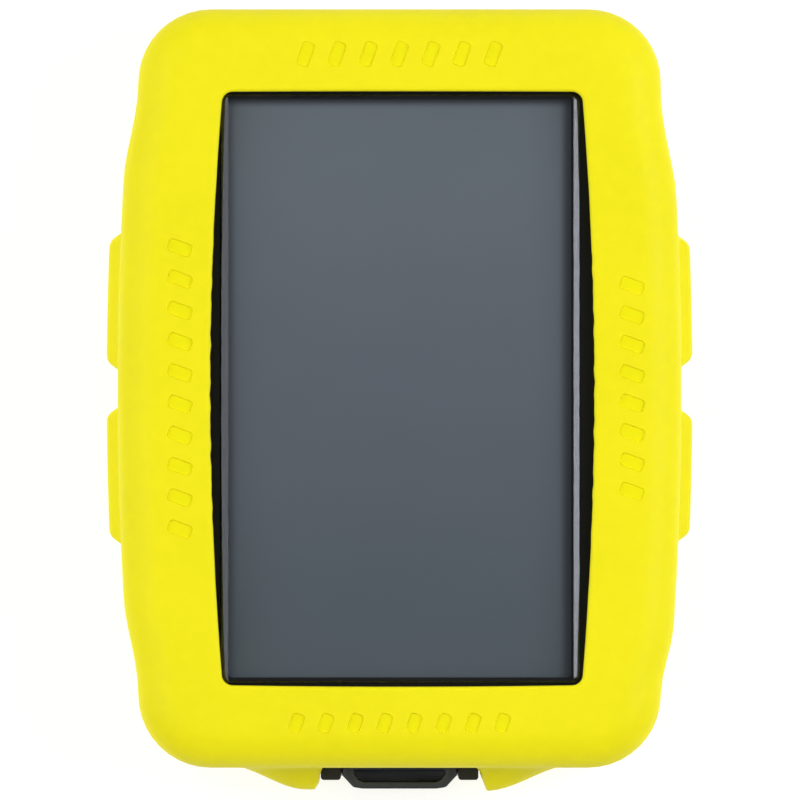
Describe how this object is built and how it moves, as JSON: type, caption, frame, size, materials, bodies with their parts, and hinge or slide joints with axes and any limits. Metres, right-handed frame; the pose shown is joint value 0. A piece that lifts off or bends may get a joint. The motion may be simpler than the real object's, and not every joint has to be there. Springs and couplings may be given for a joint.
{
  "type": "handheld gps unit",
  "caption": "Compact GPS trip computer in a bright yellow silicone sleeve, with a tall grey screen, side key pads, port door and a quarter-turn boss on its back.",
  "frame": {"origin": "centre of the quarter-turn boss's rest face, on the unit's back", "axes": "+Z out of the screen, +Y towards the top of the unit, +X to the right seen from the front"},
  "size_m": [0.064, 0.085, 0.0257],
  "materials": {
    "sleeve_silicone": "soft matte moulded silicone, bright yellow",
    "housing_black": "fine spark-eroded texture, black",
    "bezel_black": "satin black moulding",
    "seal_rubber": "plain black seal rubber",
    "lens_glass": "clear hard-coated cover lens with rounded edge",
    "adhesive_black": "black foam adhesive",
    "display_glass": "unlit blue-grey display",
    "diffuser_white": "white light guide",
    "tray_grey": "dark grey moulding",
    "ribbon_amber": "amber flexible circuit",
    "connector_beige": "beige moulded plastic",
    "board_green": "green solder mask",
    "chip_black": "moulded chip body",
    "shield_tin": "tin-plated sheet",
    "antenna_brass": "thin stamped strip",
    "battery_foil": "laminated foil pouch",
    "foam_grey": "closed-cell foam",
    "lead_red": "insulated lead",
    "door_rubber": "dark grey moulded rubber",
    "screw_steel": "blackened steel screws",
    "membrane_white": "porous membrane"
  },
  "bodies": {
    "unit": {"silicone_sleeve": "sleeve_silicone", "rear_housing": "housing_black", "front_housing": "bezel_black", "housing_seal": "seal_rubber", "key_seals": "seal_rubber", "screen_lens": "lens_glass", "lens_adhesive": "adhesive_black", "display_panel": "display_glass", "display_backlight": "diffuser_white", "display_tray": "tray_grey", "display_ribbon": "ribbon_amber", "switch_ribbons": "ribbon_amber", "ribbon_connector": "connector_beige", "main_board": "board_green", "left_switch_board": "board_green", "right_switch_board": "board_green", "battery_guard_board": "board_green", "processor_chip": "chip_black", "memory_chip": "chip_black", "pressure_sensor": "chip_black", "bluetooth_antenna": "connector_beige", "radio_shield": "shield_tin", "buzzer": "tray_grey", "antenna_carrier": "connector_beige", "gps_antenna": "antenna_brass", "usb_socket": "shield_tin", "battery_connector": "connector_beige", "battery_cell": "battery_foil", "battery_foam": "foam_grey", "battery_leads": "lead_red", "key_switches": "shield_tin", "port_hinge_pin": "screw_steel", "quarter_turn_mount": "housing_black", "mount_screws": "screw_steel", "case_screws": "screw_steel", "board_screws": "screw_steel", "vent_membrane": "membrane_white"},
    "port_flap": {"port_door": "door_rubber", "port_plug": "door_rubber"},
    "left_upper_key": {"key_pad_left_upper": "sleeve_silicone", "key_left_upper": "housing_black", "plunger_left_upper": "chip_black"},
    "left_lower_key": {"key_pad_left_lower": "sleeve_silicone", "key_left_lower": "housing_black", "plunger_left_lower": "chip_black"},
    "right_upper_key": {"key_pad_right_upper": "sleeve_silicone", "key_right_upper": "housing_black", "plunger_right_upper": "chip_black"},
    "right_lower_key": {"key_pad_right_lower": "sleeve_silicone", "key_right_lower": "housing_black", "plunger_right_lower": "chip_black"}
  },
  "joints": [
    {"name": "port_door_hinge", "type": "hinge", "parent": "unit", "child": "port_flap", "pos_m": [0, -0.0419, 0.0065], "axis": [1, 0, 0], "range_deg": [0, 100]},
    {"name": "left_upper_key_press", "type": "slide", "parent": "unit", "child": "left_upper_key", "axis": [1, 0, 0], "range_m": [0, 0.0004], "stiffness_N_per_m": 4000, "springref_m": -0.0002},
    {"name": "left_lower_key_press", "type": "slide", "parent": "unit", "child": "left_lower_key", "axis": [1, 0, 0], "range_m": [0, 0.0004], "stiffness_N_per_m": 4000, "springref_m": -0.0002},
    {"name": "right_upper_key_press", "type": "slide", "parent": "unit", "child": "right_upper_key", "axis": [-1, 0, 0], "range_m": [0, 0.0004], "stiffness_N_per_m": 4000, "springref_m": -0.0002},
    {"name": "right_lower_key_press", "type": "slide", "parent": "unit", "child": "right_lower_key", "axis": [-1, 0, 0], "range_m": [0, 0.0004], "stiffness_N_per_m": 4000, "springref_m": -0.0002}
  ]
}
